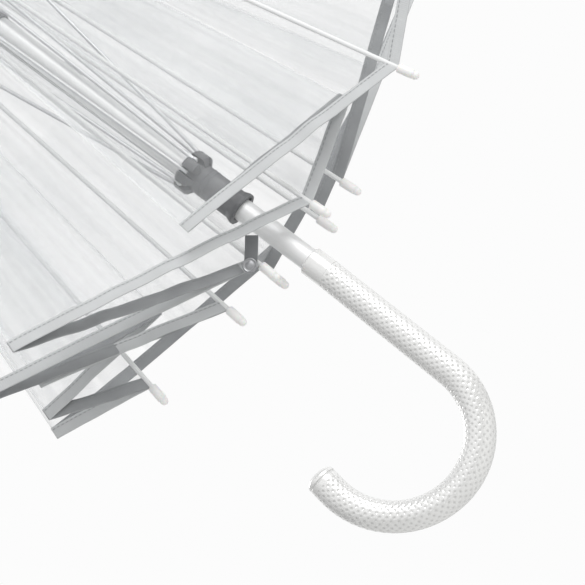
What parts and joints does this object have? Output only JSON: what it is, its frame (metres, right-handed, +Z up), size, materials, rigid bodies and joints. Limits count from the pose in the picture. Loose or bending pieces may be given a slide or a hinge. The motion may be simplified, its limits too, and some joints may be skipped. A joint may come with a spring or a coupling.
{
  "type": "stick umbrella",
  "caption": "Stick umbrella with a clear pleated film canopy, sliding runner and crook handle, closed but unfurled.",
  "frame": {"origin": "on the shaft axis, at the top face of the handle collar, where a hand or a holder takes the umbrella", "axes": "+Z up the shaft from the handle to the ferrule; the crook curls towards -X; the front faces -Y"},
  "size_m": [0.4265, 0.2386, 0.8402],
  "materials": {
    "black_plastic": "moulded nylon",
    "clear_film": "clear soft film",
    "grey_tape": "woven tape",
    "handle_white": "pearl white moulded plastic",
    "rib_white": "white pultruded fibreglass",
    "shaft": "satin anodised tube",
    "steel": "bright drawn steel",
    "white_plastic": "white moulded plastic"
  },
  "bodies": {
    "stick": {"shaft_tube": "shaft", "crown_notch": "black_plastic", "canopy_cap": "white_plastic", "ferrule": "white_plastic", "ferrule_cap": "steel", "runner_stop": "steel", "handle_grip": "handle_white", "handle_collar": "handle_white", "handle_end_cap": "handle_white"},
    "runner": {"runner_sleeve": "black_plastic", "runner_flange": "black_plastic"},
    "bottom_catch": {"bottom_catch": "steel"},
    "top_catch": {"top_catch": "steel"},
    "rib_1": {"rib_1": "rib_white", "rib_tip_1": "white_plastic"},
    "stretcher_1": {"stretcher_1": "steel"},
    "rib_2": {"rib_2": "rib_white", "rib_tip_2": "white_plastic"},
    "stretcher_2": {"stretcher_2": "steel"},
    "rib_3": {"rib_3": "rib_white", "rib_tip_3": "white_plastic", "tie_strap": "grey_tape", "snap_button": "white_plastic"},
    "stretcher_3": {"stretcher_3": "steel"},
    "rib_4": {"rib_4": "rib_white", "rib_tip_4": "white_plastic"},
    "stretcher_4": {"stretcher_4": "steel"},
    "rib_5": {"rib_5": "rib_white", "rib_tip_5": "white_plastic"},
    "stretcher_5": {"stretcher_5": "steel"},
    "rib_6": {"rib_6": "rib_white", "rib_tip_6": "white_plastic"},
    "stretcher_6": {"stretcher_6": "steel"},
    "rib_7": {"rib_7": "rib_white", "rib_tip_7": "white_plastic"},
    "stretcher_7": {"stretcher_7": "steel"},
    "rib_8": {"rib_8": "rib_white", "rib_tip_8": "white_plastic"},
    "stretcher_8": {"stretcher_8": "steel"},
    "film_lead_1": {"film_lead_1": "clear_film"},
    "film_inner_1": {"film_inner_1": "clear_film"},
    "film_return_1": {"film_return_1": "clear_film"},
    "film_lead_2": {"film_lead_2": "clear_film"},
    "film_return_2": {"film_return_2": "clear_film"},
    "film_lead_3": {"film_lead_3": "clear_film"},
    "film_return_3": {"film_return_3": "clear_film"},
    "film_lead_4": {"film_lead_4": "clear_film"},
    "film_inner_4": {"film_inner_4": "clear_film"},
    "film_return_4": {"film_return_4": "clear_film"},
    "film_outer_4": {"film_outer_4": "clear_film"},
    "film_lead_5": {"film_lead_5": "clear_film"},
    "film_inner_5": {"film_inner_5": "clear_film"},
    "film_return_5": {"film_return_5": "clear_film"},
    "film_lead_6": {"film_lead_6": "clear_film"},
    "film_return_6": {"film_return_6": "clear_film"},
    "film_lead_7": {"film_lead_7": "clear_film"},
    "film_return_7": {"film_return_7": "clear_film"},
    "film_lead_8": {"film_lead_8": "clear_film"},
    "film_return_8": {"film_return_8": "clear_film"}
  },
  "joints": [
    {"name": "runner_slide", "type": "slide", "parent": "stick", "child": "runner", "axis": [0, 0, 1], "range_m": [0, 0.15]},
    {"name": "rib_1_hinge", "type": "hinge", "parent": "stick", "child": "rib_1", "pos_m": [0.01129, -0.00219, 0.6165], "axis": [-0.2274, -0.9735, -0.0225], "range_deg": [0, 40.99]},
    {"name": "stretcher_1_pivot", "type": "hinge", "parent": "rib_1", "child": "stretcher_1", "pos_m": [0.05226, -0.00245, 0.37826], "axis": [0.2342, 0.9721, 0.0156], "range_deg": [0, 73.2]},
    {"name": "rib_2_hinge", "type": "hinge", "parent": "stick", "child": "rib_2", "pos_m": [0.00643, -0.00953, 0.6165], "axis": [-0.844, -0.5362, -0.0136], "range_deg": [0, 50.2]},
    {"name": "stretcher_2_pivot", "type": "hinge", "parent": "rib_2", "child": "stretcher_2", "pos_m": [0.0124, -0.00724, 0.381], "axis": [0.8459, 0.5332, 0.0101], "range_deg": [0, 88.87]},
    {"name": "rib_3_hinge", "type": "hinge", "parent": "stick", "child": "rib_3", "pos_m": [-0.00219, -0.01129, 0.6165], "axis": [-0.9865, 0.1631, 0.0138], "range_deg": [0, 50.6]},
    {"name": "stretcher_3_pivot", "type": "hinge", "parent": "rib_3", "child": "stretcher_3", "pos_m": [-0.00845, -0.00986, 0.381], "axis": [0.9871, -0.1596, -0.0102], "range_deg": [0, 89.6]},
    {"name": "rib_4_hinge", "type": "hinge", "parent": "stick", "child": "rib_4", "pos_m": [-0.00953, -0.00643, 0.6165], "axis": [-0.5874, 0.8091, 0.018], "range_deg": [0, 47.85]},
    {"name": "stretcher_4_pivot", "type": "hinge", "parent": "rib_4", "child": "stretcher_4", "pos_m": [-0.02306, -0.00639, 0.38076], "axis": [0.5914, -0.8063, -0.0131], "range_deg": [0, 84.72]},
    {"name": "rib_5_hinge", "type": "hinge", "parent": "stick", "child": "rib_5", "pos_m": [-0.01129, 0.00219, 0.6165], "axis": [0.2637, 0.9636, -0.0439], "range_deg": [0, 42.14]},
    {"name": "stretcher_5_pivot", "type": "hinge", "parent": "rib_5", "child": "stretcher_5", "pos_m": [-0.04936, -0.00607, 0.37854], "axis": [-0.2766, -0.9605, 0.0308], "range_deg": [0, 75.31]},
    {"name": "rib_6_hinge", "type": "hinge", "parent": "stick", "child": "rib_6", "pos_m": [-0.00643, 0.00953, 0.6165], "axis": [0.841, 0.5409, -0.0107], "range_deg": [0, 50.92]},
    {"name": "stretcher_6_pivot", "type": "hinge", "parent": "rib_6", "child": "stretcher_6", "pos_m": [-0.00971, 0.00545, 0.38103], "axis": [-0.8425, -0.5386, 0.0079], "range_deg": [0, 90.16]},
    {"name": "rib_7_hinge", "type": "hinge", "parent": "stick", "child": "rib_7", "pos_m": [0.00219, 0.01129, 0.6165], "axis": [0.9874, -0.1575, 0.0167], "range_deg": [0, 50.33]},
    {"name": "stretcher_7_pivot", "type": "hinge", "parent": "rib_7", "child": "stretcher_7", "pos_m": [0.00993, 0.01076, 0.38097], "axis": [-0.9881, 0.1531, -0.0124], "range_deg": [0, 89.13]},
    {"name": "rib_8_hinge", "type": "hinge", "parent": "stick", "child": "rib_8", "pos_m": [0.00953, 0.00643, 0.6165], "axis": [0.5822, -0.8129, 0.0146], "range_deg": [0, 47.91]},
    {"name": "stretcher_8_pivot", "type": "hinge", "parent": "rib_8", "child": "stretcher_8", "pos_m": [0.02201, 0.00739, 0.3808], "axis": [-0.5855, 0.8106, -0.0107], "range_deg": [0, 84.8]},
    {"name": "film_lead_1_fold", "type": "hinge", "parent": "rib_1", "child": "film_lead_1", "pos_m": [0.01129, -0.00219, 0.6165], "axis": [-0.1854, 0.0048, 0.9827], "range_deg": [0, 41.19], "deforming": ["film_lead_1"]},
    {"name": "film_inner_1_fold", "type": "hinge", "parent": "film_lead_1", "child": "film_inner_1", "pos_m": [0.01129, -0.00219, 0.6165], "axis": [0.072, 0.1155, 0.9907], "range_deg": [0, 176.5], "deforming": ["film_inner_1"]},
    {"name": "film_return_1_fold", "type": "hinge", "parent": "rib_2", "child": "film_return_1", "pos_m": [0.00643, -0.00953, 0.6165], "axis": [-0.0344, 0.0046, 0.9994], "range_deg": [0, 45.52], "deforming": ["film_return_1"]},
    {"name": "film_lead_2_fold", "type": "hinge", "parent": "rib_2", "child": "film_lead_2", "pos_m": [0.00643, -0.00953, 0.6165], "axis": [0.0344, -0.0046, -0.9994], "range_deg": [0, 12.55], "deforming": ["film_lead_2"]},
    {"name": "film_return_2_fold", "type": "hinge", "parent": "rib_3", "child": "film_return_2", "pos_m": [-0.00219, -0.01129, 0.6165], "axis": [0.0293, 0.0107, 0.9995], "range_deg": [0, 144.46], "deforming": ["film_return_2"]},
    {"name": "film_lead_3_fold", "type": "hinge", "parent": "rib_3", "child": "film_lead_3", "pos_m": [-0.00219, -0.01129, 0.6165], "axis": [-0.0293, -0.0107, -0.9995], "range_deg": [0, 51.74], "deforming": ["film_lead_3"]},
    {"name": "film_return_3_fold", "type": "hinge", "parent": "rib_4", "child": "film_return_3", "pos_m": [-0.00953, -0.00643, 0.6165], "axis": [0.0709, 0.0098, 0.9974], "range_deg": [0, 105.81], "deforming": ["film_return_3"]},
    {"name": "film_lead_4_fold", "type": "hinge", "parent": "rib_4", "child": "film_lead_4", "pos_m": [-0.00953, -0.00643, 0.6165], "axis": [-0.0709, -0.0098, -0.9974], "range_deg": [0, 99.9], "deforming": ["film_lead_4"]},
    {"name": "film_inner_4_fold", "type": "hinge", "parent": "film_lead_4", "child": "film_inner_4", "pos_m": [-0.00953, -0.00643, 0.6165], "axis": [0.2455, 0.1089, 0.9633], "range_deg": [0, 174.46], "deforming": ["film_inner_4"]},
    {"name": "film_return_4_fold", "type": "hinge", "parent": "rib_5", "child": "film_return_4", "pos_m": [-0.01129, 0.00219, 0.6165], "axis": [0.1737, 0.0298, 0.9843], "range_deg": [0, 63.31], "deforming": ["film_return_4"]},
    {"name": "film_outer_4_fold", "type": "hinge", "parent": "film_return_4", "child": "film_outer_4", "pos_m": [-0.01129, 0.00219, 0.6165], "axis": [-0.2623, -0.0829, -0.9614], "range_deg": [0, 167.58], "deforming": ["film_outer_4"]},
    {"name": "film_lead_5_fold", "type": "hinge", "parent": "rib_5", "child": "film_lead_5", "pos_m": [-0.01129, 0.00219, 0.6165], "axis": [-0.1737, -0.0298, -0.9843], "range_deg": [0, 105.5], "deforming": ["film_lead_5"]},
    {"name": "film_inner_5_fold", "type": "hinge", "parent": "film_lead_5", "child": "film_inner_5", "pos_m": [-0.01129, 0.00219, 0.6165], "axis": [0.281, 0.0106, 0.9597], "range_deg": [0, 139.74], "deforming": ["film_inner_5"]},
    {"name": "film_return_5_fold", "type": "hinge", "parent": "rib_6", "child": "film_return_5", "pos_m": [-0.00643, 0.00953, 0.6165], "axis": [0.0231, 0.0031, 0.9997], "range_deg": [0, 151.51], "deforming": ["film_return_5"]},
    {"name": "film_lead_6_fold", "type": "hinge", "parent": "rib_6", "child": "film_lead_6", "pos_m": [-0.00643, 0.00953, 0.6165], "axis": [-0.0231, -0.0031, -0.9997], "range_deg": [0, 20.06], "deforming": ["film_lead_6"]},
    {"name": "film_return_6_fold", "type": "hinge", "parent": "rib_7", "child": "film_return_6", "pos_m": [0.00219, 0.01129, 0.6165], "axis": [-0.0355, -0.0145, 0.9993], "range_deg": [0, 137.57], "deforming": ["film_return_6"]},
    {"name": "film_lead_7_fold", "type": "hinge", "parent": "rib_7", "child": "film_lead_7", "pos_m": [0.00219, 0.01129, 0.6165], "axis": [0.0355, 0.0145, -0.9993], "range_deg": [0, 54.43], "deforming": ["film_lead_7"]},
    {"name": "film_return_7_fold", "type": "hinge", "parent": "rib_8", "child": "film_return_7", "pos_m": [0.00953, 0.00643, 0.6165], "axis": [-0.0666, -0.0139, 0.9977], "range_deg": [0, 103.87], "deforming": ["film_return_7"]},
    {"name": "film_lead_8_fold", "type": "hinge", "parent": "rib_8", "child": "film_lead_8", "pos_m": [0.00953, 0.00643, 0.6165], "axis": [0.0666, 0.0139, -0.9977], "range_deg": [0, 67.36], "deforming": ["film_lead_8"]},
    {"name": "film_return_8_fold", "type": "hinge", "parent": "rib_1", "child": "film_return_8", "pos_m": [0.01129, -0.00219, 0.6165], "axis": [-0.1854, 0.0048, 0.9827], "range_deg": [0, 90.75], "deforming": ["film_return_8"]},
    {"name": "bottom_catch_press", "type": "hinge", "parent": "stick", "child": "bottom_catch", "pos_m": [0.0048, 0, 0.1195], "axis": [0, 1, 0], "range_deg": [0, 8], "stiffness_Nm_per_rad": 0.02},
    {"name": "top_catch_press", "type": "hinge", "parent": "stick", "child": "top_catch", "pos_m": [0.0048, 0, 0.1785], "axis": [0, -1, 0], "range_deg": [0, 8], "stiffness_Nm_per_rad": 0.02}
  ],
  "couplings": [
    {"joint": "rib_1_hinge", "follows": "runner_slide", "rad_per_m": 4.7699},
    {"joint": "stretcher_1_pivot", "follows": "runner_slide", "rad_per_m": 8.5176},
    {"joint": "rib_2_hinge", "follows": "runner_slide", "rad_per_m": 5.8407},
    {"joint": "stretcher_2_pivot", "follows": "runner_slide", "rad_per_m": 10.341},
    {"joint": "rib_3_hinge", "follows": "runner_slide", "rad_per_m": 5.8875},
    {"joint": "stretcher_3_pivot", "follows": "runner_slide", "rad_per_m": 10.426},
    {"joint": "rib_4_hinge", "follows": "runner_slide", "rad_per_m": 5.567},
    {"joint": "stretcher_4_pivot", "follows": "runner_slide", "rad_per_m": 9.8572},
    {"joint": "rib_5_hinge", "follows": "runner_slide", "rad_per_m": 4.9033},
    {"joint": "stretcher_5_pivot", "follows": "runner_slide", "rad_per_m": 8.7624},
    {"joint": "rib_6_hinge", "follows": "runner_slide", "rad_per_m": 5.9245},
    {"joint": "stretcher_6_pivot", "follows": "runner_slide", "rad_per_m": 10.491},
    {"joint": "rib_7_hinge", "follows": "runner_slide", "rad_per_m": 5.8557},
    {"joint": "stretcher_7_pivot", "follows": "runner_slide", "rad_per_m": 10.371},
    {"joint": "rib_8_hinge", "follows": "runner_slide", "rad_per_m": 5.5742},
    {"joint": "stretcher_8_pivot", "follows": "runner_slide", "rad_per_m": 9.8671},
    {"joint": "film_lead_1_fold", "follows": "runner_slide", "rad_per_m": 4.7925},
    {"joint": "film_inner_1_fold", "follows": "runner_slide", "rad_per_m": 20.536},
    {"joint": "film_return_1_fold", "follows": "runner_slide", "rad_per_m": 5.2961},
    {"joint": "film_lead_2_fold", "follows": "runner_slide", "rad_per_m": 1.4607},
    {"joint": "film_return_2_fold", "follows": "runner_slide", "rad_per_m": 16.809},
    {"joint": "film_lead_3_fold", "follows": "runner_slide", "rad_per_m": 6.0199},
    {"joint": "film_return_3_fold", "follows": "runner_slide", "rad_per_m": 12.312},
    {"joint": "film_lead_4_fold", "follows": "runner_slide", "rad_per_m": 11.624},
    {"joint": "film_inner_4_fold", "follows": "runner_slide", "rad_per_m": 20.299},
    {"joint": "film_return_4_fold", "follows": "runner_slide", "rad_per_m": 7.3666},
    {"joint": "film_outer_4_fold", "follows": "runner_slide", "rad_per_m": 19.499},
    {"joint": "film_lead_5_fold", "follows": "runner_slide", "rad_per_m": 12.276},
    {"joint": "film_inner_5_fold", "follows": "runner_slide", "rad_per_m": 16.26},
    {"joint": "film_return_5_fold", "follows": "runner_slide", "rad_per_m": 17.629},
    {"joint": "film_lead_6_fold", "follows": "runner_slide", "rad_per_m": 2.3341},
    {"joint": "film_return_6_fold", "follows": "runner_slide", "rad_per_m": 16.006},
    {"joint": "film_lead_7_fold", "follows": "runner_slide", "rad_per_m": 6.3333},
    {"joint": "film_return_7_fold", "follows": "runner_slide", "rad_per_m": 12.085},
    {"joint": "film_lead_8_fold", "follows": "runner_slide", "rad_per_m": 7.8374},
    {"joint": "film_return_8_fold", "follows": "runner_slide", "rad_per_m": 10.559}
  ]
}
